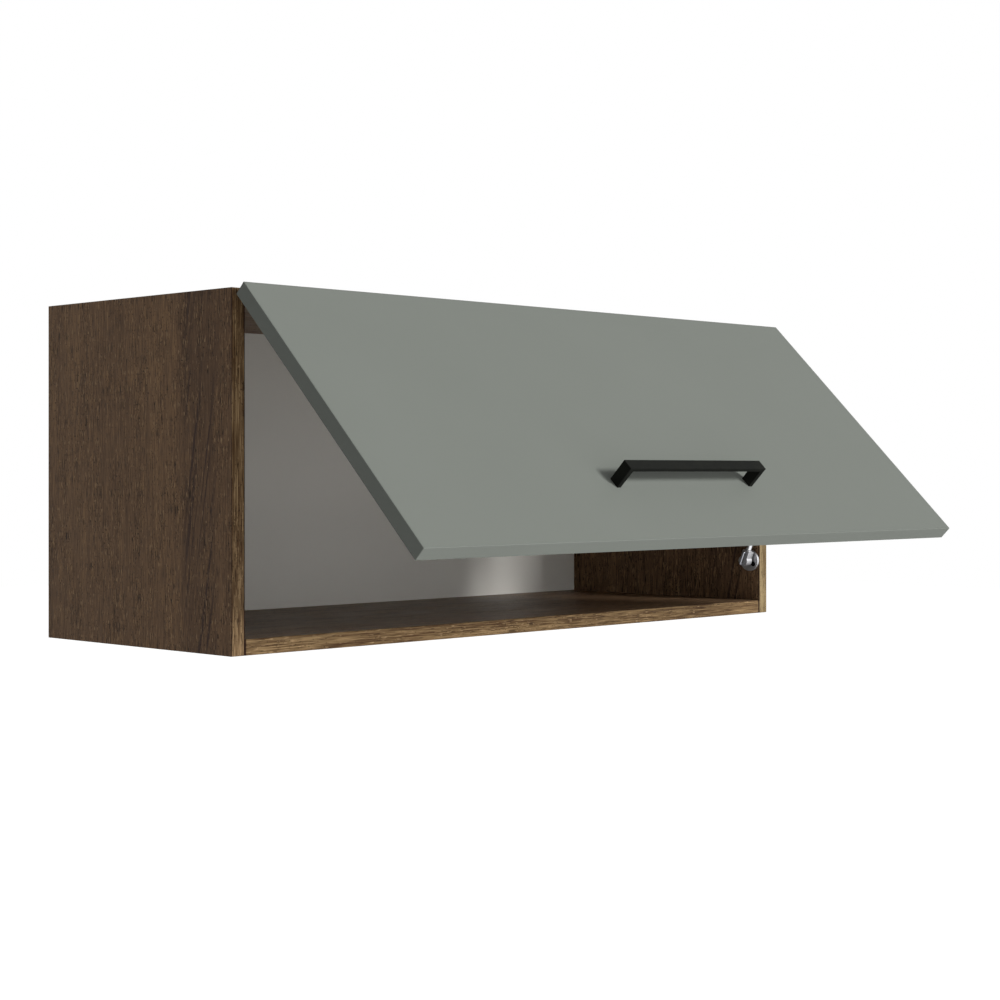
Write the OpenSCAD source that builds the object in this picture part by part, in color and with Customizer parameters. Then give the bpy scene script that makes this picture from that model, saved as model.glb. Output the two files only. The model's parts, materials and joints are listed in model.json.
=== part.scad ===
// Wall-hung kitchen cabinet with one lift-up front, drawn with the front part open.
// The frame is set on the wall: X to the right, -Y out of the wall, Z up,
// with the origin at the middle of the back face.

/* [Cabinet] */
// Outside width
cab_w = 800; // [600:10:1000]
// Outside height
cab_h = 335; // [320:5:400]
// Outside depth without the door
cab_d = 300; // [280:5:350]
// Thickness of the boards
board_t = 15; // [15:1:18]
// Thickness of the back sheet
back_t = 3; // [2.5:0.5:4]
// Thickness of the glued edge bands
band_t = 1; // [0.5:0.5:2]

/* [Door] */
// Thickness of the door
door_t = 15; // [15:1:18]
// Gap between the closed door and the cabinet's front
door_gap = 2; // [2:0.5:3]
// How far the door stays in from the cabinet's sides
door_side = 1.5; // [1:0.5:3]
// How far the door stays in from the cabinet's top and bottom
door_end = 1; // [1:0.5:3]
// Opening angle at which the door is drawn
door_open = 45.35; // [0:0.05:75]

/* [Handle] */
// Length over both legs
handle_l = 208; // [128:4:320]
// Width of the flat bar
handle_w = 12; // [10:1:16]
// Height of the bar's front above the door
handle_h = 25; // [22:1:35]
// Thickness of the bar
handle_t = 3.5; // [3:0.5:6]
// Thickness of the legs
handle_leg = 5.5; // [5:0.5:8]
// Height of the bar's middle above the door's lower edge
handle_up = 73.5; // [40:0.5:120]

/* [Hinges] */
// Distance of each hinge's middle from the cabinet's side
hinge_in = 90; // [80:5:150]
// Diameter of the hinge cup
cup_d = 35; // [35:1:35]
// Depth of the hinge cup
cup_depth = 11.5; // [11:0.5:12]
// Distance of the cup's middle from the door's upper edge
cup_down = 20.5; // [20.5:0.5:22]

/* [Gas strut] */
// Diameter of the tube
tube_d = 15; // [12:0.5:16]
// Length of the tube
tube_l = 146; // [140:1:148]
// Diameter of the rod
rod_d = 6; // [5:0.5:7]
// Diameter of the balls at both ends
ball_d = 8; // [7:0.5:8]
// Distance of the strut's line from the side panel
strut_in = 10; // [10:0.5:12]
// Height of the lower ball above the cabinet's underside
ball_up = 62; // [58:1:70]
// Distance of the lower ball behind the cabinet's front
ball_back = 12.5; // [12.5:0.5:20]
// Distance of the upper ball from the door's upper edge, along the door
anchor_down = 95; // [90:1:100]
// Distance of the upper ball from the door's inner face
anchor_off = 12; // [11:0.5:14]

/* [Hidden] */

$fn = 48;
fit = 0.05;                 // radial play of a pin, rod, screw or dowel in its hole
eps = 0.01;                 // overrun of a cut past a face
through = 20;               // length of a cut that goes right through a metal piece
bore_extra = 0.5;           // depth of a blind bore past the piece in it
half_w = cab_w / 2;
half_h = cab_h / 2;
in_w = cab_w - 2 * board_t; // width between the side panels
in_x = in_w / 2;
in_z = half_h - board_t;    // height of the inside faces above the middle
core_d = cab_d - band_t;    // depth of the boards behind the front bands

// Colours
wood = "#5c4838";
band_wood = "#8a6f4e";
white = "#c9c6c0";
steel = "#b4b6b8";
dark_steel = "#77797c";
front_green = "#838980";
black = "#242427";
tube_black = "#2e2f31";
seal_black = "#3a3a3c";
bare_beech = "burlywood";
clear_plastic = "whitesmoke";

// Countersunk screws: [shank diameter, length, head diameter]
panel_screw = [3, 14, 7];
cup_screw = [3.4, 12, 7];
disc_screw = [2.8, 14, 5.8];
foot_screw = [3, 13.5, 6];
screw_head_t = 1.4;
screw_tip_d = 0.6;
screw_cross = 0.6;          // length of a cross recess as a share of its head
screw_cross_w = 0.9;
screw_play = 0.6;           // play of a screw's shank in a metal piece

// Back sheet, let into a rebate along the rear inner edges
rebate_w = 8;
sheet_play = 0.5;
sheet_w = in_w + 2 * (rebate_w - sheet_play);
sheet_h = 2 * in_z + 2 * (rebate_w - sheet_play);
nail_d = 1.3;
nail_l = 15;
nail_head_d = 3.2;
nail_head_t = 0.8;
nail_in = rebate_w / 2;     // distance of the nails outside the inner faces
nail_end_in = 55;           // distance of a row's end nails from the side panels
nail_cols = 7;
nail_step_x = (in_w - 2 * nail_end_in) / (nail_cols - 1);
nail_step_z = 100;

// Dowels and cam fittings at the four corners
bolt_in = 50;               // distance of the bolts from the front and the back
dowel_off = 32;             // distance of each dowel from its bolt
corner_y = [-bolt_in, bolt_in - cab_d];
dowel_y = [-bolt_in - dowel_off, bolt_in + dowel_off - cab_d];
dowel_d = 8;
dowel_l = 30;
dowel_in_side = 10;         // length of a dowel in the side panel
cam_d = 15;
cam_h = 12;
cam_from_end = 34;
cam_mouth_reach = 5;        // reach of the bolt's mouth behind the cam's middle
cam_cross_w = 1.6;
cam_cross_l = 6;
cam_cross_depth = 2;
bolt_d = 7;
bolt_bore = 8;
bolt_thread_d = 5;
bolt_thread_l = 11;
bolt_head_l = 3;
bolt_neck_l = 4;
bolt_neck_d = 3.5;
bolt_l = cam_from_end - 1;

// Steel brackets that hang the cabinet on the wall
hanger_x = in_x - 35;
hanger_w = 40;
hanger_h = 50;
hanger_d = 35;
hanger_t = 2.5;
hang_hole_d = 6.5;
hang_z = in_z - 30;         // height of the wall screws above the middle
hanger_screw_dx = 12;
hanger_screw_y = -back_t - 22;

// Door, in its own frame: origin on the pivot line, y towards the cabinet, z up
door_w = cab_w - 2 * door_side;
door_h = cab_h - 2 * door_end;
pivot_y = -(cab_d + door_gap + door_t / 2);
pivot_z = half_h - door_end;
face_y = door_t / 2;
bumper_d = 8;
bumper_t = door_gap - 0.4;
bumper_up = 14;             // height of the bumpers above the door's lower edge

// Handle and its screws
handle_z = -(door_h - handle_up);
handle_x = (handle_l - handle_leg) / 2;
handle_screw_d = 3.5;
handle_screw_in = 9;        // length of the screw in the handle's leg
handle_screw_hole = 4.5;
handle_head_d = 8;
handle_head_t = 2.2;
handle_cross_l = 5;
handle_cross_w = 1;

// Hinges
hinge_x = half_w - hinge_in;
cup_wall = 1.2;
cup_floor = 0.8;
cup_rim = 2;                // reach of the cup's rim past its bore
flange_t = 1.2;
flange_w = 60;
flange_h = 14;
flange_off = 6;             // distance of the flange's middle below the cup's
cup_screw_dx = 24;
link_pin_y = -cab_d;
link_pin_z = half_h - 29;
link_pin_d = 2.5;
link_pin_over = 1;          // length of the pin past both cheeks together
link_l = 24;
link_lean = 36;             // lean of the link at the drawn angle, from upright
link_w = 8;
link_t = 3.2;
link_eye_d = 5;
link_window_in = 5;         // distance of the link's window from both of its ends
plate_y = -(cab_d - 37);
plate_t = 2.5;
plate_w = 48;
plate_l = 18;
plate_screw_dx = 16;
rail_w = 13.6;
rail_l = 44;
rail_h = 7;                 // reach of the rail below the top panel
rail_rib_w = 9.6;
rail_rib_l = 40;
arm_in_w = 14;
arm_wall = 1.2;
arm_nose_r = 3.6;
arm_web_in = 6;             // distance of the arm's web behind the link's pin
arm_rear_y = plate_y + rail_l / 2;
arm_top_z = in_z - plate_t - 1;
arm_low_z = link_pin_z - arm_nose_r;
arm_screw_y = [plate_y - 10, plate_y + 12];
arm_screw_d = 5;
arm_head_d = 7;
arm_head_t = 1.2;
arm_cross_l = 4;
arm_cross_w = 1;
arm_cross_depth = 0.9;

// Gas strut
strut_x = in_x - strut_in;
tube_wall = 1.2;
tube_end_t = 2;
socket_w = 9;
socket_r = 6.2;
socket_low = 4.9;           // socket's reach from the ball to its closed side
socket_high = 4.8;          // socket's reach from the ball to its open side
socket_floor = 0.8;
neck_l = 12.5;              // from a ball to the end of its socket
collar_d = 8;
collar_l = 2;
end_gap = neck_l + collar_l; // from the upper ball to the tube
rod_gap = 1.5;              // play between the rod and the lower socket
guide_l = 9;
guide_cap_t = 1.5;
guide_cap_in = 0.3;         // distance of the guide's cap inside the tube's skin
piston_t = 6;
piston_grip = 1;            // length of rod let into the piston
rod_in = 66;                // length of rod inside the tube at the drawn angle
clip_d = 2.4;
clip_gap = 2;               // gap between the clip's wire and the socket
clip_low = 4;               // reach of the clip past the ball
stud_d = 5;
ball_low = [-(cab_d - ball_back), -half_h + ball_up];
anchor = [face_y + anchor_off, -anchor_down];

// Round bracket on the side panel
disc_d = 25;
disc_t = 3;
disc_screw_r = 7.2;
disc_screw_turn = 237;      // angle of the first screw round the stud
disc_screws = 3;
disc_sink_d = 6;
disc_sink = 1.2;            // depth of the sinks for the screws' heads

// Bracket on the door: a foot with an upright cheek that carries the ball
foot_t = 2;
foot_l = 26;
foot_w = 18;
foot_screw_in = 11;         // distance of the screws from the cheek's right face
foot_screw_dz = 8.5;
cheek_t = 2.5;
cheek_w = 12;
cheek_x = strut_x - 8.5;    // right face of the cheek

// A point given from the pivot, turned with the door by the angle a; [y, z]
function swung(p, a) = [p[0] * cos(a) + p[1] * sin(a), -p[0] * sin(a) + p[1] * cos(a)];
ball_high = [pivot_y, pivot_z] + swung(anchor, door_open);
strut_run = ball_low - ball_high;
strut_l = norm(strut_run);
strut_lean = atan2(strut_run[0], -strut_run[1]);
rod_end = strut_l - neck_l - rod_gap;
rod_top = end_gap + tube_l - rod_in;

// ---------- helpers ----------

module x_cyl(d, l) { rotate([0, 90, 0]) cylinder(d = d, h = l); }
module y_cyl(d, l) { rotate([-90, 0, 0]) cylinder(d = d, h = l); }

// A box given by its low corner and its size
module at_box(low, size) { translate(low) cube(size); }

// A hole along -Z from the face z = 0
module bore(d, l) { translate([0, 0, -l]) cylinder(d = d, h = l + eps); }

// A cross recess for a screwdriver, sunk from the face z = 0
module cross_recess(l, w, depth) {
    for (a = [0, 90]) rotate(a) at_box([-l / 2, -w / 2, -depth], [l, w, depth + eps]);
}

// A countersunk wood screw along -Z with its head standing on z = 0
module wood_screw(kind) {
    d = kind[0];
    l = kind[1];
    difference() {
        union() {
            translate([0, 0, -l]) cylinder(d1 = screw_tip_d, d2 = d, h = d);
            translate([0, 0, d - l]) cylinder(d = d, h = l - d);
            cylinder(d = kind[2], h = screw_head_t);
        }
        translate([0, 0, screw_head_t]) cross_recess(screw_cross * kind[2], screw_cross_w, screw_cross_w);
    }
}

// The hole of such a screw in wood, behind a metal piece as thick as t
module pilot(kind, t) { bore(kind[0] + 2 * fit, kind[1] - t + bore_extra); }

// The hole of such a screw in a metal piece
module screw_hole(kind) { translate([0, 0, through / 2]) bore(kind[0] + screw_play, through); }

// Puts what is drawn from the pivot where the door stands
module on_door() { translate([0, pivot_y, pivot_z]) rotate([-door_open, 0, 0]) children(); }

// Puts what is drawn from a ball, with the strut along -Z, where the strut stands
module on_strut(ball) { translate([strut_x, ball[0], ball[1]]) rotate([strut_lean, 0, 0]) children(); }

// ---------- cabinet ----------

// Frames at the ends of the lying panels, +Z going into the panel
module at_panel_ends(places_y) {
    for (dir = [-1, 1]) for (s = [-1, 1]) for (y = places_y)
        translate([s * in_x, y, dir * (half_h - board_t / 2)]) rotate([0, -s * 90, 0]) children();
}

// Frames of the cams on the outer faces of the lying panels, +Z going into the panel
module at_cams() {
    for (dir = [-1, 1]) for (s = [-1, 1]) for (y = corner_y)
        translate([s * (in_x - cam_from_end), y, dir * half_h]) rotate([dir > 0 ? 180 : 0, 0, 0])
            rotate(s > 0 ? 0 : 180) children();
}

// Places of the nails in the back sheet, round its rim
module each_nail() {
    for (z = [-1, 1]) for (k = [0 : nail_cols - 1])
        translate([(k - (nail_cols - 1) / 2) * nail_step_x, 0, z * (in_z + nail_in)]) children();
    for (s = [-1, 1]) for (k = [-1, 0, 1])
        translate([s * (in_x + nail_in), 0, k * nail_step_z]) children();
}

module side_panel(side) {
    color(wood) difference() {
        at_box([side > 0 ? in_x : -half_w, -core_d, -half_h], [board_t, core_d, cab_h]);
        // rebate for the back sheet
        translate([side * in_x, 0, 0])
            cube([2 * rebate_w, 2 * back_t, 2 * (in_z + rebate_w)], center = true);
        at_panel_ends(corner_y) bore(bolt_thread_d + 2 * fit, bolt_thread_l + bore_extra);
        at_panel_ends(dowel_y) bore(dowel_d + 2 * fit, dowel_in_side + bore_extra);
        each_nail() translate([0, -nail_l, 0]) y_cyl(nail_d + 2 * fit, nail_l);
        at_disc_screws() pilot(disc_screw, disc_t - disc_sink);
    }
}
module side_panel_left() { side_panel(-1); }
module side_panel_right() { side_panel(1); }

// A lying board; dir is 1 for the top and -1 for the bottom
module lying_panel(dir) {
    color(wood) difference() {
        at_box([-in_x, -core_d, dir > 0 ? in_z : -half_h], [in_w, core_d, board_t]);
        translate([0, 0, dir * in_z]) cube([2 * cab_w, 2 * back_t, 2 * rebate_w], center = true);
        at_panel_ends(corner_y) mirror([0, 0, 1]) bore(bolt_bore, cam_from_end);
        at_panel_ends(dowel_y) mirror([0, 0, 1])
            bore(dowel_d + 2 * fit, dowel_l - dowel_in_side + bore_extra);
        at_cams() mirror([0, 0, 1]) bore(cam_d + 2 * fit, cam_h + bore_extra);
        each_nail() translate([0, -nail_l, 0]) y_cyl(nail_d + 2 * fit, nail_l);
        at_plate_screws() pilot(panel_screw, plate_t);
        at_hanger_screws() pilot(panel_screw, hanger_t);
    }
}
module top_panel() { lying_panel(1); }
module bottom_panel() { lying_panel(-1); }

module back_panel() {
    color(white) difference() {
        at_box([-sheet_w / 2, -back_t, -sheet_h / 2], [sheet_w, back_t, sheet_h]);
        each_nail() {
            translate([0, -2 * back_t, 0]) y_cyl(nail_d + 2 * fit, 3 * back_t);
            translate([0, -nail_head_t, 0]) y_cyl(nail_head_d + 2 * fit, 2 * nail_head_t);
        }
        for (s = [-1, 1]) translate([s * hanger_x, -2 * back_t, hang_z]) y_cyl(hang_hole_d, 3 * back_t);
    }
}

module back_nails() {
    color(dark_steel) each_nail() {
        translate([0, bore_extra - nail_l, 0]) y_cyl(nail_d, nail_l - bore_extra);
        translate([0, -nail_head_t, 0]) y_cyl(nail_head_d, nail_head_t);
    }
}

module upright_band(side) {
    color(band_wood) at_box([side > 0 ? in_x : -half_w, -cab_d, -half_h], [board_t, band_t, cab_h]);
}
module edge_band_left() { upright_band(-1); }
module edge_band_right() { upright_band(1); }

module lying_band(dir) {
    color(band_wood) at_box([-in_x, -cab_d, dir > 0 ? in_z : -half_h], [in_w, band_t, board_t]);
}
module edge_band_top() { lying_band(1); }
module edge_band_bottom() { lying_band(-1); }

// ---------- corner joints ----------

module wood_dowels() {
    color(bare_beech) at_panel_ends(dowel_y)
        translate([0, 0, -dowel_in_side]) cylinder(d = dowel_d, h = dowel_l);
}

module cam_locks() {
    color(steel) at_cams() difference() {
        cylinder(d = cam_d, h = cam_h);
        // mouth for the bolt's head
        translate([-cam_mouth_reach, 0, board_t / 2]) x_cyl(bolt_bore, cam_d);
        mirror([0, 0, 1]) cross_recess(cam_cross_l, cam_cross_w, cam_cross_depth);
    }
}

module cam_bolts() {
    color(dark_steel) at_panel_ends(corner_y) {
        translate([0, 0, -bolt_thread_l]) cylinder(d = bolt_thread_d, h = bolt_thread_l);
        cylinder(d = bolt_d, h = bolt_l - bolt_head_l - bolt_neck_l);
        cylinder(d = bolt_neck_d, h = bolt_l);
        translate([0, 0, bolt_l - bolt_head_l]) cylinder(d = bolt_d, h = bolt_head_l);
    }
}

// ---------- hanging brackets ----------

// Frames of the brackets' screws under the top panel, +Z coming out of the wood
module at_hanger_screws() {
    for (s = [-1, 1]) for (dx = [-hanger_screw_dx, hanger_screw_dx])
        translate([s * hanger_x + dx, hanger_screw_y, in_z]) rotate([180, 0, 0]) children();
}

module hanger(side) {
    color(steel) difference() {
        translate([side * hanger_x - hanger_w / 2, 0, 0]) union() {
            at_box([0, -back_t - hanger_t, in_z - hanger_h], [hanger_w, hanger_t, hanger_h]);
            at_box([0, -back_t - hanger_d, in_z - hanger_t], [hanger_w, hanger_d, hanger_t]);
        }
        translate([side * hanger_x, -through / 2, hang_z]) y_cyl(hang_hole_d, through);
        at_hanger_screws() screw_hole(panel_screw);
    }
}
module hanger_left() { hanger(-1); }
module hanger_right() { hanger(1); }

module hanger_screws() {
    color(dark_steel) at_hanger_screws() translate([0, 0, hanger_t]) wood_screw(panel_screw);
}

// ---------- hinges ----------

// Frames of the plates' screws under the top panel, +Z coming out of the wood
module at_plate_screws() {
    for (s = [-1, 1]) for (dx = [-plate_screw_dx, plate_screw_dx])
        translate([s * hinge_x + dx, plate_y, in_z]) rotate([180, 0, 0]) children();
}

module hinge_plate(side) {
    color(steel) difference() {
        translate([side * hinge_x, plate_y, in_z - plate_t]) union() {
            at_box([-plate_w / 2, -plate_l / 2, 0], [plate_w, plate_l, plate_t]);
            at_box([-rail_w / 2, -rail_l / 2, 0], [rail_w, rail_l, plate_t]);
            at_box([-rail_rib_w / 2, -rail_rib_l / 2, plate_t - rail_h],
                [rail_rib_w, rail_rib_l, rail_h - plate_t]);
        }
        at_plate_screws() screw_hole(panel_screw);
    }
}
module hinge_plate_left() { hinge_plate(-1); }
module hinge_plate_right() { hinge_plate(1); }

module hinge_plate_screws() {
    color(dark_steel) at_plate_screws() translate([0, 0, plate_t]) wood_screw(panel_screw);
}

// One cheek's outline in [y, z]: a long strip with a round nose at the link's pin
module cheek_outline() {
    rear_l = rail_l - bore_extra;
    translate([link_pin_y, link_pin_z]) circle(r = arm_nose_r);
    translate([link_pin_y, arm_low_z]) square([arm_rear_y - link_pin_y, 2 * arm_nose_r]);
    translate([arm_rear_y - rear_l, arm_low_z]) square([rear_l, arm_top_z - arm_low_z]);
}

module hinge_arm(side) {
    out_w = arm_in_w + 2 * arm_wall;
    web_l = arm_rear_y - link_pin_y - arm_web_in;
    color(steel) translate([side * hinge_x, 0, 0]) difference() {
        union() {
            for (x = [-out_w / 2, arm_in_w / 2]) translate([x, 0, 0])
                rotate([90, 0, 90]) linear_extrude(arm_wall) cheek_outline();
            at_box([-out_w / 2, arm_rear_y - web_l, arm_low_z - arm_wall], [out_w, web_l, arm_wall]);
        }
        translate([-out_w, link_pin_y, link_pin_z]) x_cyl(link_pin_d + 2 * fit, 2 * out_w);
        for (y = arm_screw_y) translate([0, y, arm_low_z]) bore(arm_screw_d + 4 * fit, 2 * arm_wall);
    }
}
module hinge_arm_left() { hinge_arm(-1); }
module hinge_arm_right() { hinge_arm(1); }

// Depth and height screws, through the arm's web up to the plate's rail
module hinge_arm_screws() {
    shank_l = in_z - rail_h - arm_low_z + arm_wall;
    color(dark_steel) for (s = [-1, 1]) for (y = arm_screw_y)
        translate([s * hinge_x, y, arm_low_z - arm_wall]) rotate([180, 0, 0]) difference() {
            union() {
                translate([0, 0, -shank_l]) cylinder(d = arm_screw_d, h = shank_l);
                cylinder(d = arm_head_d, h = arm_head_t);
            }
            translate([0, 0, arm_head_t]) cross_recess(arm_cross_l, arm_cross_w, arm_cross_depth);
        }
}

module hinge_link_pins() {
    l = arm_in_w + 2 * arm_wall + link_pin_over;
    color(dark_steel) for (s = [-1, 1]) translate([s * hinge_x - l / 2, link_pin_y, link_pin_z])
        x_cyl(link_pin_d, l);
}

module hinge_link(side) {
    color(steel) translate([side * hinge_x, link_pin_y, link_pin_z]) rotate([link_lean, 0, 0]) difference() {
        union() {
            translate([-link_w / 2, 0, 0]) x_cyl(link_eye_d, link_w);
            at_box([-link_w / 2, -link_t / 2, 0], [link_w, link_t, link_l]);
            translate([-link_w / 2, 0, link_l]) x_cyl(link_t, link_w);
        }
        translate([-link_w, 0, 0]) x_cyl(link_pin_d + 2 * fit, 2 * link_w);
        // window between the link's two straps
        at_box([-link_w / 4, -link_t, link_window_in],
            [link_w / 2, 2 * link_t, link_l - 2 * link_window_in]);
    }
}
module hinge_link_left() { hinge_link(-1); }
module hinge_link_right() { hinge_link(1); }

// Frame of a cup on the door, +Z coming out of the door and +Y going down along it
module at_cup(side) {
    on_door() translate([side * hinge_x, face_y, -cup_down]) rotate([-90, 0, 0]) children();
}

// Places of the cup's two screws in the cup's frame
module at_cup_screws() {
    for (s = [-1, 1]) translate([s * cup_screw_dx, flange_off, 0]) children();
}

module hinge_cup(side) {
    color(steel) at_cup(side) difference() {
        union() {
            translate([0, 0, -cup_depth]) cylinder(d = cup_d, h = cup_depth);
            cylinder(d = cup_d + 2 * cup_rim, h = flange_t);
            translate([0, flange_off, 0]) {
                at_box([(flange_h - flange_w) / 2, -flange_h / 2, 0],
                    [flange_w - flange_h, flange_h, flange_t]);
                for (s = [-1, 1]) translate([s * (flange_w - flange_h) / 2, 0, 0])
                    cylinder(d = flange_h, h = flange_t);
            }
        }
        translate([0, 0, cup_floor - cup_depth]) cylinder(d = cup_d - 2 * cup_wall, h = 2 * cup_depth);
        at_cup_screws() screw_hole(cup_screw);
    }
}
module hinge_cup_left() { hinge_cup(-1); }
module hinge_cup_right() { hinge_cup(1); }

module hinge_cup_screws() {
    color(dark_steel) for (side = [-1, 1]) at_cup(side) at_cup_screws()
        translate([0, 0, flange_t]) wood_screw(cup_screw);
}

// ---------- door ----------

module door_panel() {
    color(front_green) difference() {
        on_door() at_box([-door_w / 2 + band_t, -door_t / 2, -door_h + band_t],
            [door_w - 2 * band_t, door_t, door_h - 2 * band_t]);
        for (side = [-1, 1]) at_cup(side) {
            bore(cup_d + 2 * fit, cup_depth + bore_extra);
            at_cup_screws() pilot(cup_screw, flange_t);
        }
        on_door() {
            for (s = [-1, 1]) translate([s * handle_x, -door_t, handle_z])
                y_cyl(handle_screw_hole, 2 * door_t);
            at_foot_screws() pilot(foot_screw, foot_t);
        }
    }
}

module door_side_band(side) {
    color(front_green) on_door() at_box([side > 0 ? door_w / 2 - band_t : -door_w / 2, -door_t / 2, -door_h],
        [band_t, door_t, door_h]);
}
module door_band_left() { door_side_band(-1); }
module door_band_right() { door_side_band(1); }

module door_end_band(low) {
    color(front_green) on_door() at_box([-door_w / 2 + band_t, -door_t / 2, low],
        [door_w - 2 * band_t, door_t, band_t]);
}
module door_band_top() { door_end_band(-band_t); }
module door_band_bottom() { door_end_band(-door_h); }

// Soft stops that meet the side panels' front edges
module door_bumpers() {
    color(clear_plastic) on_door() for (s = [-1, 1])
        translate([s * (half_w - board_t / 2), face_y, bumper_up - door_h]) y_cyl(bumper_d, bumper_t);
}

// ---------- handle ----------

module handle() {
    color(black) on_door() translate([0, -face_y, handle_z]) difference() {
        union() {
            at_box([-handle_l / 2, -handle_h, -handle_w / 2], [handle_l, handle_t, handle_w]);
            for (s = [-1, 1])
                at_box([s * handle_x - handle_leg / 2, -handle_h, -handle_w / 2],
                    [handle_leg, handle_h, handle_w]);
        }
        for (s = [-1, 1]) translate([s * handle_x, -handle_screw_in - bore_extra, 0])
            y_cyl(handle_screw_d + 2 * fit, handle_screw_in + 2 * bore_extra);
    }
}

module handle_screws() {
    color(steel) on_door() for (s = [-1, 1])
        translate([s * handle_x, face_y, handle_z]) rotate([-90, 0, 0]) difference() {
            union() {
                bore(handle_screw_d, door_t + handle_screw_in);
                cylinder(d = handle_head_d, h = handle_head_t);
            }
            translate([0, 0, handle_head_t]) cross_recess(handle_cross_l, handle_cross_w, handle_cross_w);
        }
}

// ---------- gas strut ----------

// Frames of the screws in the bracket on the side panel, +Z coming out of the wood
module at_disc_screws() {
    for (k = [1 : disc_screws]) translate([in_x, ball_low[0], ball_low[1]]) rotate([0, -90, 0])
        rotate(disc_screw_turn + 360 * k / disc_screws) translate([disc_screw_r, 0, 0]) children();
}

module side_bracket() {
    color(steel) difference() {
        union() {
            translate([in_x - disc_t, ball_low[0], ball_low[1]]) x_cyl(disc_d, disc_t);
            translate([strut_x, ball_low[0], ball_low[1]]) {
                x_cyl(stud_d, strut_in - disc_t / 2);
                sphere(d = ball_d);
            }
        }
        at_disc_screws() screw_hole(disc_screw);
        at_disc_screws() translate([0, 0, disc_t + disc_sink]) bore(disc_sink_d, 2 * disc_sink);
    }
}

module side_bracket_screws() {
    color(dark_steel) at_disc_screws() translate([0, 0, disc_t - disc_sink]) wood_screw(disc_screw);
}

// Frames of the screws in the bracket on the door, +Z coming out of the wood
module at_foot_screws() {
    for (k = [-1, 1]) translate([cheek_x - foot_screw_in, face_y, -anchor_down + k * foot_screw_dz])
        rotate([-90, 0, 0]) children();
}

module door_bracket() {
    color(steel) on_door() translate([0, 0, -anchor_down]) difference() {
        union() {
            at_box([cheek_x - foot_w, face_y, -foot_l / 2], [foot_w, foot_t, foot_l]);
            at_box([cheek_x - cheek_t, face_y, -cheek_w / 2], [cheek_t, anchor_off, cheek_w]);
            translate([cheek_x - cheek_t, anchor[0], 0]) x_cyl(cheek_w, cheek_t);
            translate([cheek_x - cheek_t, anchor[0], 0]) x_cyl(stud_d, strut_x - cheek_x + cheek_t);
            translate([strut_x, anchor[0], 0]) sphere(d = ball_d);
        }
        translate([0, 0, anchor_down]) at_foot_screws() screw_hole(foot_screw);
    }
}

module door_bracket_screws() {
    color(dark_steel) on_door() at_foot_screws() translate([0, 0, foot_t]) wood_screw(foot_screw);
}

// A ball socket: the ball at the origin, the neck up along +Z, the mouth at +X
module socket() {
    bore_x = socket_floor - socket_low;
    difference() {
        translate([-socket_low, 0, 0]) rotate([90, 0, 90]) linear_extrude(socket_low + socket_high) {
            circle(r = socket_r);
            translate([-socket_w / 2, 0]) square([socket_w, neck_l]);
        }
        translate([bore_x, 0, 0]) x_cyl(ball_d + 2 * fit, 2 * socket_high - bore_x);
    }
}

// Wire that keeps the socket on its ball, on the socket's closed side
module socket_clip() {
    wire_x = -socket_low - clip_gap - clip_d / 2;
    high_z = neck_l - clip_d;
    translate([wire_x, 0, -clip_low]) cylinder(d = clip_d, h = high_z + clip_low);
    for (z = [-clip_low, high_z]) translate([wire_x, 0, z]) {
        sphere(d = clip_d);
        x_cyl(clip_d, -socket_low - wire_x);
    }
}

module strut_lower_end() { color(steel) on_strut(ball_low) socket(); }
module strut_lower_clip() { color(dark_steel) on_strut(ball_low) socket_clip(); }

module strut_upper_end() {
    color(steel) on_strut(ball_high) rotate([0, 180, 0]) {
        socket();
        translate([0, 0, neck_l - collar_l]) cylinder(d = collar_d, h = 2 * collar_l);
    }
}
module strut_upper_clip() { color(dark_steel) on_strut(ball_high) rotate([0, 180, 0]) socket_clip(); }

// Puts what is drawn from the tube's mouth, with +Z going up into the tube, where the tube stands
module on_tube() { on_strut(ball_high) translate([0, 0, -end_gap - tube_l]) children(); }

module strut_tube() {
    color(tube_black) on_tube() difference() {
        cylinder(d = tube_d, h = tube_l);
        translate([0, 0, -eps]) cylinder(d = tube_d - 2 * tube_wall, h = tube_l - tube_end_t);
    }
}

module strut_rod_guide() {
    color(seal_black) on_tube() difference() {
        union() {
            translate([0, 0, -guide_cap_t]) cylinder(d = tube_d - 2 * guide_cap_in, h = guide_cap_t);
            cylinder(d = tube_d - 2 * tube_wall - 2 * fit, h = guide_l);
        }
        translate([0, 0, -guide_l]) cylinder(d = rod_d + 2 * fit, h = 3 * guide_l);
    }
}

module strut_rod() {
    color(steel) on_strut(ball_high) translate([0, 0, -rod_end]) cylinder(d = rod_d, h = rod_end - rod_top);
}

module strut_piston() {
    color(seal_black) on_strut(ball_high) translate([0, 0, -rod_top]) difference() {
        translate([0, 0, -piston_grip]) cylinder(d = tube_d - 2 * tube_wall - 2 * fit, h = piston_t);
        translate([0, 0, -2 * piston_grip]) cylinder(d = rod_d, h = 2 * piston_grip);
    }
}

side_panel_left();
side_panel_right();
top_panel();
bottom_panel();
back_panel();
edge_band_left();
edge_band_right();
edge_band_top();
edge_band_bottom();
wood_dowels();
cam_locks();
cam_bolts();
back_nails();
hanger_left();
hanger_right();
hanger_screws();
hinge_plate_left();
hinge_plate_right();
hinge_plate_screws();
hinge_arm_left();
hinge_arm_right();
hinge_arm_screws();
hinge_link_pins();
side_bracket();
side_bracket_screws();
hinge_link_left();
hinge_link_right();
door_panel();
door_band_left();
door_band_right();
door_band_top();
door_band_bottom();
door_bumpers();
handle();
handle_screws();
hinge_cup_left();
hinge_cup_right();
hinge_cup_screws();
door_bracket();
door_bracket_screws();
strut_tube();
strut_rod_guide();
strut_upper_end();
strut_upper_clip();
strut_rod();
strut_piston();
strut_lower_end();
strut_lower_clip();
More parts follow.
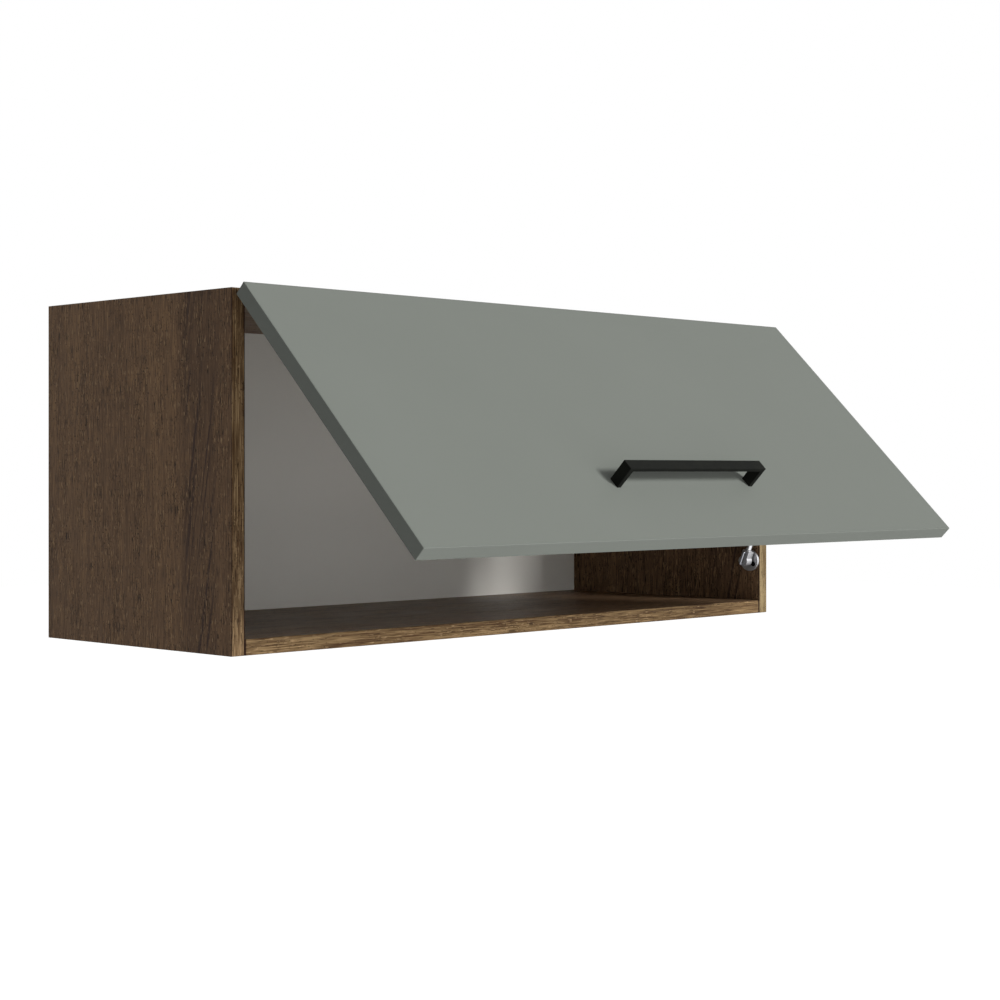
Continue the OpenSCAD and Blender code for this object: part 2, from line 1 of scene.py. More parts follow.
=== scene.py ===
import json
from math import pi, radians

import bmesh
import bpy
from mathutils import Matrix, Vector


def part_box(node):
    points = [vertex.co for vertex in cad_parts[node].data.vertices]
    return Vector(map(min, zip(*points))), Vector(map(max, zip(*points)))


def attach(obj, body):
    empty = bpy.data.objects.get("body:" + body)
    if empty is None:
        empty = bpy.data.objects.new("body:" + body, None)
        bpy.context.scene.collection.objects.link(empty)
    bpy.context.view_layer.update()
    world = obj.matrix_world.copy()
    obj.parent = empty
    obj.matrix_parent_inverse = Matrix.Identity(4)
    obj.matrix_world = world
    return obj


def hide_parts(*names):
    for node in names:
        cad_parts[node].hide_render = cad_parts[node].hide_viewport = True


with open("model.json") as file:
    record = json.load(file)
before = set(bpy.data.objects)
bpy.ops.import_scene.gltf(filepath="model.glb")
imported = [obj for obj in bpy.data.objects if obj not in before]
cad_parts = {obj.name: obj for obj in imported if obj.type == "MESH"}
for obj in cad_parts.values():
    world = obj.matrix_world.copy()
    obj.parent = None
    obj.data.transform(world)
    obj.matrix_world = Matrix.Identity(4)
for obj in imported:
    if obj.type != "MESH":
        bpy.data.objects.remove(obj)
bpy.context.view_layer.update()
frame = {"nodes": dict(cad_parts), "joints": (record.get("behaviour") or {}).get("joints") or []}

# The look of a wall cabinet with a lift-up front: materials, rounded edges, light and camera.
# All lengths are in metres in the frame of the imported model: X to the right, -Y out of the wall, Z up.

NODES = frame["nodes"]
MM = 0.001

# ---------- sizes taken from the frame ----------

JOINTS = {joint["name"]: joint for joint in frame["joints"]}
LIFT = JOINTS["door_lift"]
OPENING = radians(-LIFT["range_deg"][0])                    # angle at which the door is drawn
DOOR_FRAME = Matrix.Translation(LIFT["pos_m"]) @ Matrix.Rotation(-OPENING, 4, "X")
CABINET_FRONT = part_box("edge_band_left")[0].y
INNER_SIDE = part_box("side_panel_right")[0].x
STRUT_FOOT = Vector(JOINTS["strut_foot_swing"]["pos_m"])    # middle of the lower ball
STRUT_AXIS = -Vector(JOINTS["strut_stroke"]["axis"])        # from the lower ball to the upper one

# ---------- camera, from the photograph ----------

FRAME_PX = 1000
FOCAL_PX = 1982.2
HORIZON_PX = 471.2          # height of the horizon below the picture's upper edge
CAMERA_AT = (-1.5098, -1.7314, 0.0007)
CAMERA_YAW = 45.49          # degrees to the right of +Y
SENSOR_MM = 36

# ---------- light ----------

# A level is how bright a white surface that faces the light gets from it alone. A turn is in degrees to
# the right of the front, and a rise is in degrees above the horizon.
AMBIENT = 0.165
KEY_LEVEL = 0.96
KEY_TURN = 18.5
KEY_RISE = 18.5
KEY_WIDTH = 15              # degrees across, seen from the cabinet
FILL_LEVEL = 0.35
FILL_TURN = -9
FILL_RISE = -5
FILL_DISTANCE = 3.4
FILL_SIZE = (6.0, 3.0)
STRIP_LEVEL = 0.085
STRIP_TURN = -9
STRIP_RISE = 1
STRIP_SIZE = (6.0, 0.5)
LOW_LEVEL = 0.04
LOW_TURN = -9
LOW_RISE = -30
LOW_DISTANCE = 2.2
LOW_SIZE = (2.5, 0.7)
SOFT_BOXES = [("fill", FILL_LEVEL, FILL_TURN, FILL_RISE, FILL_DISTANCE, FILL_SIZE),
              ("strip", STRIP_LEVEL, STRIP_TURN, STRIP_RISE, FILL_DISTANCE, STRIP_SIZE),
              ("low", LOW_LEVEL, LOW_TURN, LOW_RISE, LOW_DISTANCE, LOW_SIZE)]
FLOOR_BELOW = 1.45          # height of the cabinet's middle above the floor
FLOOR_SIZE = 40
FLOOR_GLOW = 0.7            # its own light, for what looks at it directly, so that it shows as white

# ---------- colours, as sRGB values from 0 to 255 ----------

WOOD_TONES = ((88, 67, 49), (113, 88, 66), (139, 110, 80))
# the top and bottom boards: the same decor as the sides, made lighter as painted light on them
LIT_LYING_TONES = ((93, 72, 54), (120, 94, 72), (146, 118, 88))
# the left band: the same edging as the right band, a little darker as painted shade from the open door
SHADED_LEFT_EDGE_TONES = ((82, 60, 40), (122, 98, 70), (163, 136, 101))
RIGHT_EDGE_TONES = ((85, 66, 43), (120, 102, 72), (156, 137, 102))
# the lying bands: the same edging as the right band, made darker as painted shade from the open door
SHADED_LYING_EDGE_TONES = ((73, 52, 33), (108, 86, 59), (143, 118, 84))
WOOD_VEIN = (66, 49, 41)
WOOD_PORE = (46, 32, 20)
WOOD_FLECK = (186, 156, 119)
# dark glue, also used as painted shade in the joints between edge bands and on their shaded sides
GLUE_AND_SHADE_LINE = (34, 16, 10)
CHIP_DARK = (126, 96, 62)
CHIP_LIGHT = (196, 166, 122)
SHEET_WHITE = (245, 243, 236)
SHEET_GREYED = (230, 225, 214)
FIBRE_DARK = (88, 61, 39)
FIBRE_BROWN = (122, 88, 58)
FIBRE_LIGHT = (158, 121, 84)
FRONT_GREEN = (117, 121, 115)
FRONT_VARIES = 2.5          # how far the green gets lighter and darker
HANDLE_BLACK = (27, 28, 26)
HANDLE_DUST = (32, 33, 30)
TUBE_BLACK = (24, 25, 27)
TUBE_HAZE = (40, 41, 44)
NICKEL = (188, 188, 190)
ZINC = (150, 152, 158)
CHROME = (206, 207, 210)
CAST_ZINC = (158, 158, 156)
BEECH_DARK = (172, 128, 84)
BEECH_LIGHT = (212, 172, 124)
BEECH_FLECK = (140, 96, 60)
SCREW_BLACK = (34, 34, 35)
PLASTIC_BLACK = (22, 22, 23)
BUMPER_WHITE = (214, 214, 208)
FLOOR_GREY = (228, 228, 228)
FLOOR_CLOUD = (223, 223, 223)


def linear(colour):
    """A colour's linear values with alpha, from sRGB values of 0 to 255."""
    shares = [c / 255 for c in colour]
    return tuple(c / 12.92 if c <= 0.04045 else ((c + 0.055) / 1.055) ** 2.4 for c in shares) + (1,)


def darkened(colour, share):
    return tuple(c * share for c in colour)


# ---------- shader nodes ----------

class Surface:
    """A procedural material: one Principled shader, and short calls for the nodes that feed it."""

    def __init__(self, name):
        self.material = bpy.data.materials.new(name)
        self.material.use_nodes = True
        self.tree = self.material.node_tree
        self.shader = self.tree.nodes["Principled BSDF"]
        self.place = self.add("TexCoord").outputs["Object"]

    def feed(self, socket, value):
        if isinstance(value, bpy.types.NodeSocket):
            self.tree.links.new(value, socket)
        else:
            socket.default_value = value

    def add(self, kind, inputs=None, **settings):
        node = self.tree.nodes.new("ShaderNode" + kind)
        for name, value in settings.items():
            setattr(node, name, value)
        for name, value in (inputs or {}).items():
            self.feed(node.inputs[name], value)
        return node

    def noise(self, per_metre, detail=2.0, roughness=0.5, shift=(0, 0, 0)):
        """Noise with one count of waves per metre, or with a count of its own along X, Y and Z."""
        scale = per_metre if isinstance(per_metre, tuple) else (per_metre, per_metre, per_metre)
        vector = self.add("Mapping", {"Vector": self.place, "Scale": scale, "Location": shift})
        inputs = {"Vector": vector.outputs[0], "Scale": 1.0, "Detail": detail, "Roughness": roughness}
        return self.add("TexNoise", inputs).outputs[0]

    def math(self, operation, a, b=0.0, c=0.0):
        node = self.add("Math", operation=operation)
        for socket, value in zip(node.inputs, (a, b, c)):
            self.feed(socket, value)
        return node.outputs[0]

    def between(self, value, low, high):
        """0 at low and 1 at high, with a smooth change; low may be the larger of the two."""
        inputs = {"Value": value, "From Min": low, "From Max": high}
        return self.add("MapRange", inputs, interpolation_type="SMOOTHSTEP").outputs[0]

    def weighted(self, middle, *terms):
        """middle plus each factor's distance from one half, times its weight."""
        total = middle
        for factor, weight in terms:
            total = self.math("MULTIPLY_ADD", self.math("SUBTRACT", factor, 0.5), weight, total)
        return total

    def mix(self, factor, a, b):
        """Colour a where the factor is 0 and colour b where it is 1."""
        node = self.add("Mix", data_type="RGBA")
        for index, value in ((0, factor), (6, a), (7, b)):
            self.feed(node.inputs[index], value)
        return node.outputs[2]

    def ramp(self, factor, *stops):
        """A colour that runs through the stops, each a place from 0 to 1 and a colour."""
        node = self.add("ValToRGB", {"Fac": factor})
        elements = node.color_ramp.elements
        while len(elements) < len(stops):
            elements.new(0.5)
        for element, (place, colour) in zip(elements, stops):
            element.position = place
            element.color = linear(colour)
        return node.outputs[0]

    def bump(self, height, depth, round_edge=0.0):
        """A normal for a relief that is depth metres high, on edges rounded by round_edge."""
        inputs = {"Height": height, "Strength": 1.0, "Distance": depth}
        if round_edge:
            inputs["Normal"] = self.add("Bevel", {"Radius": round_edge}, samples=4).outputs[0]
        return self.add("Bump", inputs).outputs[0]

    def set(self, **inputs):
        """Feeds the shader; Base_Color stands for the socket Base Color, and so on."""
        for name, value in inputs.items():
            self.feed(self.shader.inputs[name.replace("_", " ")], value)
        return self.material


# ---------- wood ----------

# Waves per metre, across and along the grain
STREAKS = (560, 38)
EDGE_STREAKS = (850, 24)                # on the edge bands
STRIPES = (150, 5)
CLOUDS = (14, 2.5)
CLUSTERS = (55, 18)
DASHES = (850, 70)
DOTS = (900, 380)
FLECKS = (900, 120)

# Noise values at which a mark begins and is full
DASH_RANGE = (0.33, 0.27)
DOT_RANGE = (0.31, 0.26)
FLECK_RANGE = (0.69, 0.75)

# The dark vein in the side panels
VEIN_DEPTH = -0.252                     # its middle, as Y
VEIN_FADE = (12 * MM, 36 * MM)          # from its middle to where it starts to fade, and to where it ends
VEIN_LEAN = 0.19                        # metres of depth by which its lines lean per metre of height
VEIN_WAVES = (190.0, 5.0)               # waves per metre, across and along its lines
VEIN_LINES = (0.49, 0.6)                # noise values at which a line begins and is full

# Dark glue at the edge bands, with painted shade in the joints between bands and on a band's sides behind its
# front face
GLUE_AND_SHADE_AT_JOINT = (1.6 * MM, 1.2 * MM)    # from the joint of two bands to where the dark glue and painted shade begin and are full
GLUE_AND_SHADE_BEHIND = (0.3 * MM, 0.5 * MM)      # the same from the front face of a band

CHIPS_PER_METRE = 420.0
REAR_FROM = -0.2 * MM                   # a surface with a larger Y than this faces the wall
WOOD_RELIEF = 0.12 * MM
SOFT_EDGE = 0.5 * MM                    # how far the shading rounds the edges of wood and lacquer
METAL_EDGE = 0.3 * MM                   # the same for metal


def along(grain, across_per_m, along_per_m):
    """Waves per metre along X, Y and Z for wood whose grain runs along X or Z."""
    return tuple(along_per_m if axis == grain else across_per_m for axis in "XYZ")


def vein_shade(s, y, z, middle):
    """Where the dark vein shows: leaning lines in a band round its middle."""
    slant = s.math("MULTIPLY_ADD", z, VEIN_LEAN, y)
    across = s.math("MULTIPLY", slant, VEIN_WAVES[0])
    lengthwise = s.math("MULTIPLY", z, VEIN_WAVES[1])
    vector = s.add("CombineXYZ", {"X": across, "Y": lengthwise}).outputs[0]
    line_noise = s.add("TexNoise", {"Vector": vector, "Scale": 1.0, "Detail": 2.0}).outputs[0]
    distance = s.math("ABSOLUTE", s.math("SUBTRACT", y, middle))
    band = s.math("SUBTRACT", 1.0, s.between(distance, *VEIN_FADE))
    return s.math("MULTIPLY", band, s.math("MULTIPLY_ADD", s.between(line_noise, *VEIN_LINES), 0.75, 0.25))


def grain_marks(s, grain, cluster):
    """Where dark pores and pale flecks show; both come more often where cluster is high."""
    often = s.math("MULTIPLY_ADD", cluster, 0.3, -0.15)
    dash_noise = s.math("SUBTRACT", s.noise(along(grain, *DASHES), 0, 0.5, (2, 8, 5)), often)
    dot_noise = s.math("SUBTRACT", s.noise(along(grain, *DOTS), 0, 0.5, (4, 4, 4)), often)
    fleck_noise = s.math("ADD", s.noise(along(grain, *FLECKS), 0, 0.5, (7, 3, 1)), often)
    pores = s.math("MAXIMUM", s.between(dash_noise, *DASH_RANGE), s.between(dot_noise, *DOT_RANGE))
    return pores, s.between(fleck_noise, *FLECK_RANGE)


def chipboard(s):
    """The colour of raw chipboard."""
    chips = s.add("TexVoronoi", {"Vector": s.place, "Scale": CHIPS_PER_METRE}).outputs["Color"]
    grey = s.add("SeparateColor", {"Color": chips}).outputs[0]
    return s.ramp(grey, (0.0, CHIP_DARK), (1.0, CHIP_LIGHT))


def glue_and_gap_shade(s, x, y):
    """Where dark glue with painted shade shows: at the joint of two edge bands, and between a band and its
    board.
    """
    from_joint = s.math("ABSOLUTE", s.math("SUBTRACT", s.math("ABSOLUTE", x), INNER_SIDE))
    behind = s.between(y, CABINET_FRONT + GLUE_AND_SHADE_BEHIND[0], CABINET_FRONT + GLUE_AND_SHADE_BEHIND[1])
    return s.math("MAXIMUM", s.between(from_joint, *GLUE_AND_SHADE_AT_JOINT), behind)


def wood(name, grain, tones, contrast=1.0, speckle=1.0, gloss=0.06, vein_at=None, raw_rear=False,
         glue_and_shade_seams=False, streaks=STREAKS):
    """Wood-grain decor in three tones. vein_at is the Y of a dark vein's middle, raw_rear shows the board
    at its rear, glue_and_shade_seams draws dark glue with painted shade in the joints, and streaks gives the
    waves per metre of the long fine lines."""
    s = Surface(name)
    x, y, z = s.add("SeparateXYZ", {"Vector": s.place}).outputs
    streak = s.noise(along(grain, *streaks), 2, 0.7)
    stripe = s.noise(along(grain, *STRIPES), 3, 0.6, (3, 1, 2))
    cloud = s.noise(along(grain, *CLOUDS), 2, 0.5, (5, 7, 4))
    cluster = s.noise(along(grain, *CLUSTERS), 1, 0.5, (9, 2, 6))
    tone = s.weighted(0.5, (streak, 1.7 * contrast), (stripe, 0.8 * contrast), (cloud, 0.45))
    colour = s.ramp(tone, (0.1, tones[0]), (0.5, tones[1]), (0.9, tones[2]))
    if vein_at is not None:
        colour = s.mix(vein_shade(s, y, z, vein_at), colour, linear(WOOD_VEIN))
    pores, flecks = grain_marks(s, grain, cluster)
    colour = s.mix(s.math("MULTIPLY", flecks, 0.5 * speckle), colour, linear(WOOD_FLECK))
    colour = s.mix(s.math("MULTIPLY", pores, 0.9 * speckle), colour, linear(WOOD_PORE))
    if raw_rear:
        colour = s.mix(s.math("GREATER_THAN", y, REAR_FROM), colour, chipboard(s))
    # dark glue with painted shade at the band joints and on the bands' sides
    if glue_and_shade_seams:
        colour = s.mix(s.math("MULTIPLY", glue_and_gap_shade(s, x, y), 0.9), colour, linear(GLUE_AND_SHADE_LINE))
    rough = s.weighted(0.42, (streak, 0.2), (cluster, 0.15))
    relief = s.math("MULTIPLY_ADD", streak, 0.6, s.math("MULTIPLY", pores, -0.7))
    return s.set(Base_Color=colour, Roughness=rough, Specular_IOR_Level=gloss,
                 Normal=s.bump(relief, WOOD_RELIEF, SOFT_EDGE))


def beech():
    """Bare fluted beech of the dowels, which lie along X."""
    s = Surface("dowel_beech")
    grain = s.noise((60, 900, 900), 3, 0.6)
    flecks = s.between(s.noise((500, 2200, 2200), 1), 0.62, 0.7)
    colour = s.ramp(grain, (0.3, BEECH_DARK), (0.7, BEECH_LIGHT))
    colour = s.mix(s.math("MULTIPLY", flecks, 0.5), colour, linear(BEECH_FLECK))
    return s.set(Base_Color=colour, Roughness=0.7, Normal=s.bump(grain, 0.1 * MM))


# ---------- other materials ----------

def back_sheet():
    """Thin fibre board: white foil inside the cabinet, bare brown fibres towards the wall."""
    s = Surface("back_sheet_foil")
    y = s.add("SeparateXYZ", {"Vector": s.place}).outputs[1]
    cloud = s.noise(14, 3)
    grit = s.noise(1400, 1)
    white = s.mix(s.math("MULTIPLY", cloud, 0.08), linear(SHEET_WHITE), linear(SHEET_GREYED))
    fibres = s.weighted(0.5, (s.noise((420, 420, 900), 3, 0.7), 1.1), (cloud, 0.5))
    brown = s.ramp(fibres, (0.2, FIBRE_DARK), (0.5, FIBRE_BROWN), (0.8, FIBRE_LIGHT))
    rear = s.math("GREATER_THAN", y, REAR_FROM)
    return s.set(Base_Color=s.mix(rear, white, brown), Roughness=s.weighted(0.5, (grit, 0.1), (rear, 0.3)),
                 Specular_IOR_Level=0.3, Normal=s.bump(grit, 0.02 * MM))


def front_lacquer():
    """Matt grey-green front with the faint grain of a sprayed or pressed skin."""
    s = Surface("front_skin")
    cloud = s.noise(7, 2)
    mottle = s.noise(160, 2)
    skin = s.noise(1700, 2, 0.6)
    tone = s.weighted(0.5, (cloud, 0.5), (mottle, 0.25), (skin, 0.35))
    darker = tuple(c - FRONT_VARIES for c in FRONT_GREEN)
    lighter = tuple(c + FRONT_VARIES for c in FRONT_GREEN)
    colour = s.ramp(tone, (0.15, darker), (0.85, lighter))
    return s.set(Base_Color=colour, Roughness=s.weighted(0.58, (mottle, 0.12), (skin, 0.1)),
                 Specular_IOR_Level=0.06, Normal=s.bump(skin, 0.03 * MM, SOFT_EDGE))


def powder_coat():
    """Matt black powder coat with a thin film of dust."""
    s = Surface("handle_powder_coat")
    peel = s.noise(900, 2, 0.6)
    dust = s.noise(60, 3)
    colour = s.mix(s.between(dust, 0.35, 0.8), linear(HANDLE_BLACK), linear(HANDLE_DUST))
    return s.set(Base_Color=colour, Roughness=s.weighted(0.5, (peel, 0.2), (dust, 0.1)),
                 Specular_IOR_Level=0.012, Normal=s.bump(peel, 0.05 * MM))


def metal(name, colour, rough, brushed=300, stain=0.48):
    """Bare or plated metal. brushed gives the waves per metre of its fine lines, and stain is how far a
    film over it darkens it."""
    s = Surface(name)
    lines = s.noise(brushed, 3, 0.6)
    film = s.noise(45, 3, 0.6)
    base = s.mix(s.math("MULTIPLY", film, stain), linear(colour), linear(darkened(colour, 0.78)))
    return s.set(Base_Color=base, Metallic=1.0, Roughness=s.weighted(rough, (lines, 0.22), (film, 0.18)),
                 Normal=s.bump(lines, 0.02 * MM, METAL_EDGE))


def plastic(name, colour, rough, transmission=0.0):
    s = Surface(name)
    grain = s.noise(1100, 2)
    tint = s.mix(grain, linear(colour), linear(darkened(colour, 0.9)))
    return s.set(Base_Color=tint, Roughness=s.weighted(rough, (grain, 0.15)), Specular_IOR_Level=0.35,
                 Transmission_Weight=transmission, Normal=s.bump(grain, 0.03 * MM))


def gloss_paint():
    """Black paint of the gas strut's tube, with a faint haze and fine marks."""
    s = Surface("strut_tube_paint")
    marks = s.noise((30, 900, 900), 2)
    haze = s.noise(50, 3)
    colour = s.mix(haze, linear(TUBE_BLACK), linear(TUBE_HAZE))
    return s.set(Base_Color=colour, Roughness=s.weighted(0.3, (haze, 0.15), (marks, 0.08)),
                 Coat_Weight=0.3, Coat_Roughness=0.15, Normal=s.bump(marks, 0.01 * MM))


# ---------- materials on the pieces ----------

SIDE_WOOD = wood("wood_side", "Z", WOOD_TONES, vein_at=VEIN_DEPTH, raw_rear=True)
# lighter tones: painted light on the top panel's underside and on the bottom panel
TOP_WOOD = wood("wood_top_lit", "X", LIT_LYING_TONES, raw_rear=True)
BOTTOM_WOOD = wood("wood_bottom_lit", "X", LIT_LYING_TONES, gloss=0.18, raw_rear=True)
# darker tones: painted shade of the door on the left band
LEFT_EDGE = wood("wood_edge_left_shaded", "Z", SHADED_LEFT_EDGE_TONES, 1.8, 0.8, glue_and_shade_seams=True, streaks=EDGE_STREAKS)
RIGHT_EDGE = wood("wood_edge_right", "Z", RIGHT_EDGE_TONES, 1.8, 0.5, glue_and_shade_seams=True, streaks=EDGE_STREAKS)
# darker tones: painted shade of the door on the bottom band
LYING_EDGE = wood("wood_edge_lying_shaded", "X", SHADED_LYING_EDGE_TONES, 1.8, 0.8, glue_and_shade_seams=True, streaks=EDGE_STREAKS)
DOOR_SKIN = front_lacquer()
HANDLE_COAT = powder_coat()
NICKEL_STEEL = metal("nickel_steel", NICKEL, 0.5, (900, 120, 900))
ZINC_STEEL = metal("zinc_steel", ZINC, 0.38)
MATERIALS = {
    SIDE_WOOD: ["side_panel_left", "side_panel_right"],
    TOP_WOOD: ["top_panel"],
    BOTTOM_WOOD: ["bottom_panel"],
    back_sheet(): ["back_panel"],
    LEFT_EDGE: ["edge_band_left"],
    RIGHT_EDGE: ["edge_band_right"],
    LYING_EDGE: ["edge_band_top", "edge_band_bottom"],
    beech(): ["wood_dowels"],
    metal("cam_cast_zinc", CAST_ZINC, 0.5, stain=0.8): ["cam_locks"],
    ZINC_STEEL: ["cam_bolts", "back_nails", "hanger_screws", "hinge_plate_screws", "hinge_arm_screws",
                 "hinge_link_pins", "hinge_cup_screws", "door_bracket_screws",
                 "handle_screws", "strut_upper_clip", "strut_lower_clip"],
    NICKEL_STEEL: ["hanger_left", "hanger_right", "hinge_plate_left", "hinge_plate_right",
                   "hinge_arm_left", "hinge_arm_right", "hinge_link_left", "hinge_link_right",
                   "hinge_cup_left", "hinge_cup_right", "side_bracket", "door_bracket",
                   "strut_upper_end", "strut_lower_end"],
    DOOR_SKIN: ["door_panel", "door_band_left", "door_band_right", "door_band_top", "door_band_bottom"],
    plastic("bumper_clear", BUMPER_WHITE, 0.35, transmission=0.4): ["door_bumpers"],
    HANDLE_COAT: ["handle"],
    gloss_paint(): ["strut_tube"],
    metal("screw_black_zinc", SCREW_BLACK, 0.45): ["side_bracket_screws"],
    plastic("guide_plastic", PLASTIC_BLACK, 0.5): ["strut_rod_guide", "strut_piston"],
    metal("rod_chrome", CHROME, 0.12, (900, 60, 60), stain=0.12): ["strut_rod"],
}
for material, names in MATERIALS.items():
    for name in names:
        NODES[name].data.materials.clear()
        NODES[name].data.materials.append(material)


# ---------- pieces with rounded edges ----------

TOUCH = 0.01 * MM           # a vertex this close to a plane lies in it
BAND_RADIUS = 0.6 * MM

# The handle is a flat bar on two legs, with its edges just broken
HANDLE_BAR = 3.5 * MM
HANDLE_LEG = 5.5 * MM
HANDLE_RADIUS = 0.35 * MM

# A thin lock ring on the lower end fitting, where the rod is screwed into it
NECK_END = 12.5 * MM        # from the middle of the ball
RING_THICK = 1.2 * MM
RING_RADIUS = 4.2 * MM
RING_SIDES = 48
RING_BEVEL = 0.25 * MM
RIM_ANGLE = 1               # radians between two faces of the ring, above which their edge is its rim


def piece_from(mesh_maker, name, body, material, stands_for, place=None):
    """Makes an object from a bmesh, in place, riding on a body and standing for CAD nodes."""
    bm = bmesh.new()
    mesh_maker(bm)
    bmesh.ops.recalc_face_normals(bm, faces=bm.faces)
    mesh = bpy.data.meshes.new(name)
    bm.to_mesh(mesh)
    bm.free()
    mesh.materials.append(material)
    piece = bpy.data.objects.new(name, mesh)
    bpy.context.scene.collection.objects.link(piece)
    if place is not None:
        piece.matrix_world = place
    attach(piece, body)
    if stands_for:
        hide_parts(*stands_for)


def round_edges(bm, edges, radius, steps=3):
    bmesh.ops.bevel(bm, geom=list(edges), offset=radius, segments=steps, profile=0.5, affect="EDGES")


def edges_at(bm, y):
    """The edges that lie in the plane of one Y."""
    return [e for e in bm.edges if all(abs(v.co.y - y) < TOUCH for v in e.verts)]


def front_band(node, material):
    """An edge band of the cabinet with rounded front edges."""
    low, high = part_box(node)

    def make(bm):
        matrix = Matrix.Translation((low + high) / 2) @ Matrix.Diagonal((*(high - low), 1))
        bmesh.ops.create_cube(bm, size=1, matrix=matrix)
        round_edges(bm, edges_at(bm, low.y), BAND_RADIUS)

    piece_from(make, node + "_rounded", "cabinet", material, [node])


def box_on_door(node):
    """A node's corners in the door's own frame, where Y points to the cabinet."""
    inverse = DOOR_FRAME.inverted()
    points = [inverse @ v.co for v in NODES[node].data.vertices]
    low = Vector([min(p[i] for p in points) for i in range(3)])
    high = Vector([max(p[i] for p in points) for i in range(3)])
    return low, high


def door_edging(bm):
    """The door's four edge bands as one ring, with rounded outer edges."""
    inner_low, inner_high = box_on_door("door_panel")
    low = box_on_door("door_band_bottom")[0]
    low.x = box_on_door("door_band_left")[0].x
    high = box_on_door("door_band_top")[1]
    high.x = box_on_door("door_band_right")[1].x
    rings = []
    for y in (low.y, high.y):
        for small, large in ((low, high), (inner_low, inner_high)):
            corners = [(small.x, small.z), (large.x, small.z), (large.x, large.z), (small.x, large.z)]
            rings.append([bm.verts.new((x, y, z)) for x, z in corners])
    outer_front, inner_front, outer_rear, inner_rear = rings
    for i in range(4):
        j = (i + 1) % 4
        bm.faces.new((outer_front[i], outer_front[j], inner_front[j], inner_front[i]))
        bm.faces.new((outer_rear[i], inner_rear[i], inner_rear[j], outer_rear[j]))
        bm.faces.new((outer_front[i], outer_rear[i], outer_rear[j], outer_front[j]))
        bm.faces.new((inner_front[i], inner_front[j], inner_rear[j], inner_rear[i]))
    outer = set(outer_front + outer_rear)
    round_edges(bm, [e for e in bm.edges if set(e.verts) <= outer], BAND_RADIUS)


def bar_handle(bm):
    """The handle in the door's frame; the edges where its legs stand on the door stay sharp."""
    low, high = box_on_door("handle")
    outline = [(low.x, high.y), (low.x, low.y), (high.x, low.y), (high.x, high.y),
               (high.x - HANDLE_LEG, high.y), (high.x - HANDLE_LEG, low.y + HANDLE_BAR),
               (low.x + HANDLE_LEG, low.y + HANDLE_BAR), (low.x + HANDLE_LEG, high.y)]
    rows = [[bm.verts.new((x, y, z)) for x, y in outline] for z in (low.z, high.z)]
    for row in rows:
        bm.faces.new(row)
    for i in range(len(outline)):
        j = (i + 1) % len(outline)
        bm.faces.new((rows[0][i], rows[0][j], rows[1][j], rows[1][i]))
    foot = edges_at(bm, high.y)
    round_edges(bm, [e for e in bm.edges if e not in foot], HANDLE_RADIUS, 2)


def lock_ring(bm):
    base = bmesh.ops.create_circle(bm, cap_ends=True, radius=RING_RADIUS, segments=RING_SIDES)["verts"]
    faces = list({f for v in base for f in v.link_faces})
    top = bmesh.ops.extrude_face_region(bm, geom=faces)["geom"]
    verts = [g for g in top if isinstance(g, bmesh.types.BMVert)]
    bmesh.ops.translate(bm, verts=verts, vec=(0, 0, RING_THICK))
    round_edges(bm, [e for e in bm.edges if e.calc_face_angle(0) > RIM_ANGLE], RING_BEVEL, 2)


front_band("edge_band_left", LEFT_EDGE)
front_band("edge_band_right", RIGHT_EDGE)
front_band("edge_band_top", LYING_EDGE)
front_band("edge_band_bottom", LYING_EDGE)
piece_from(door_edging, "door_edging", "door", DOOR_SKIN,
           ["door_band_left", "door_band_right", "door_band_top", "door_band_bottom"], DOOR_FRAME)
piece_from(bar_handle, "handle_bar", "door", HANDLE_COAT, ["handle"], DOOR_FRAME)
STRUT_FRAME = (Matrix.Translation(STRUT_FOOT) @ STRUT_AXIS.to_track_quat("Z", "Y").to_matrix().to_4x4()
               @ Matrix.Translation((0, 0, NECK_END)))
piece_from(lock_ring, "rod_lock_ring", "strut_lower_end", NICKEL_STEEL, [], STRUT_FRAME)


# ---------- floor, light and camera ----------

def seen_directly(tree):
    """1 for what the camera, a reflection or a clear piece looks at, and 0 for light that falls on things."""
    path = tree.nodes.new("ShaderNodeLightPath")
    total = path.outputs["Is Camera Ray"]
    for name in ("Is Glossy Ray", "Is Transmission Ray"):
        node = tree.nodes.new("ShaderNodeMath")
        node.operation = "MAXIMUM"
        tree.links.new(total, node.inputs[0])
        tree.links.new(path.outputs[name], node.inputs[1])
        total = node.outputs[0]
    return total


def surroundings():
    """Even light from all round, and plain white behind the object."""
    world = bpy.data.worlds.new("studio")
    bpy.context.scene.world = world
    world.use_nodes = True
    tree = world.node_tree
    strength = tree.nodes.new("ShaderNodeMapRange")
    strength.inputs["To Min"].default_value = AMBIENT
    strength.inputs["To Max"].default_value = 1.0
    tree.links.new(seen_directly(tree), strength.inputs["Value"])
    background = tree.nodes["Background"]
    background.inputs["Color"].default_value = (1, 1, 1, 1)
    tree.links.new(strength.outputs[0], background.inputs["Strength"])


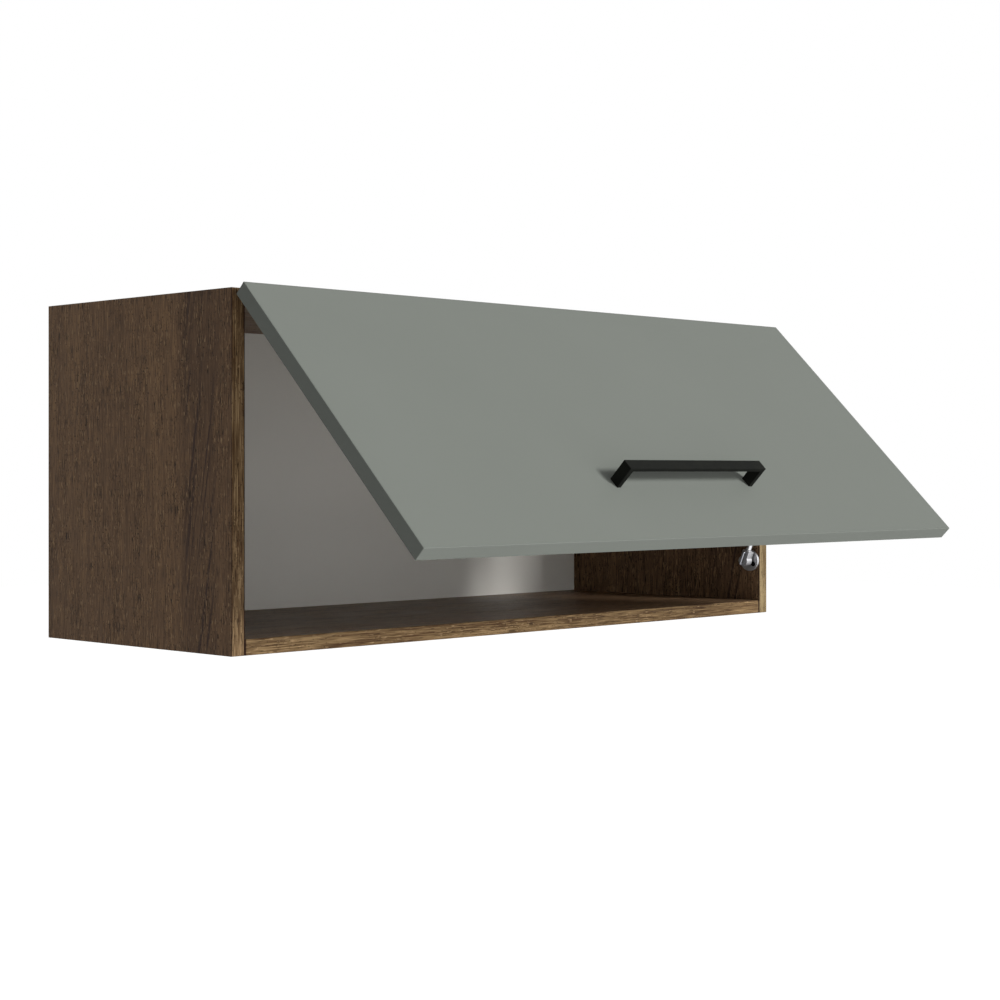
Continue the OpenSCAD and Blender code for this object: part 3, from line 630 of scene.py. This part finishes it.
def floor():
    """A plain pale floor far below the cabinet, which shows as white and keeps a faint shadow."""
    s = Surface("floor_white")
    clouds = s.math("MULTIPLY", s.noise(0.6, 2), 0.1)
    glow = s.math("MULTIPLY", seen_directly(s.tree), FLOOR_GLOW)
    material = s.set(Base_Color=s.mix(clouds, linear(FLOOR_GREY), linear(FLOOR_CLOUD)), Roughness=0.9,
                     Specular_IOR_Level=0.0, Emission_Color=(1, 1, 1, 1), Emission_Strength=glow)
    half = FLOOR_SIZE / 2
    corners = [(-half, -half), (half, -half), (half, half), (-half, half)]
    mesh = bpy.data.meshes.new("floor")
    mesh.from_pydata([(x, y, -FLOOR_BELOW) for x, y in corners], [], [(0, 1, 2, 3)])
    mesh.materials.append(material)
    plane = bpy.data.objects.new("floor", mesh)
    bpy.context.scene.collection.objects.link(plane)


def lamp(name, kind, turn, rise, distance=1.0):
    """A lamp that faces the cabinet's middle."""
    data = bpy.data.lights.new(name, kind)
    light = bpy.data.objects.new(name, data)
    bpy.context.scene.collection.objects.link(light)
    aim = Matrix.Rotation(radians(turn), 3, "Z") @ Matrix.Rotation(radians(90 - rise), 3, "X")
    light.rotation_euler = aim.to_euler()
    light.location = aim @ Vector((0, 0, distance))
    light.visible_camera = False
    return data


def lamps():
    key = lamp("key", "SUN", KEY_TURN, KEY_RISE)
    key.energy = KEY_LEVEL * pi
    key.angle = radians(KEY_WIDTH)
    for name, level, turn, rise, distance, size in SOFT_BOXES:
        soft_box = lamp(name, "AREA", turn, rise, distance)
        soft_box.shape = "RECTANGLE"
        soft_box.size, soft_box.size_y = size
        soft_box.energy = level * (pi * distance) ** 2


def camera():
    lens = bpy.data.cameras.new("photo_camera")
    lens.sensor_width = SENSOR_MM
    lens.lens = FOCAL_PX / FRAME_PX * SENSOR_MM
    lens.shift_y = (HORIZON_PX - FRAME_PX / 2) / FRAME_PX
    lens.clip_start = 0.01
    eye = bpy.data.objects.new("photo_camera", lens)
    bpy.context.scene.collection.objects.link(eye)
    eye.location = CAMERA_AT
    eye.rotation_euler = (radians(90), 0, radians(-CAMERA_YAW))
    bpy.context.scene.camera = eye


surroundings()
floor()
lamps()
camera()
bpy.context.scene.view_settings.view_transform = "Standard"
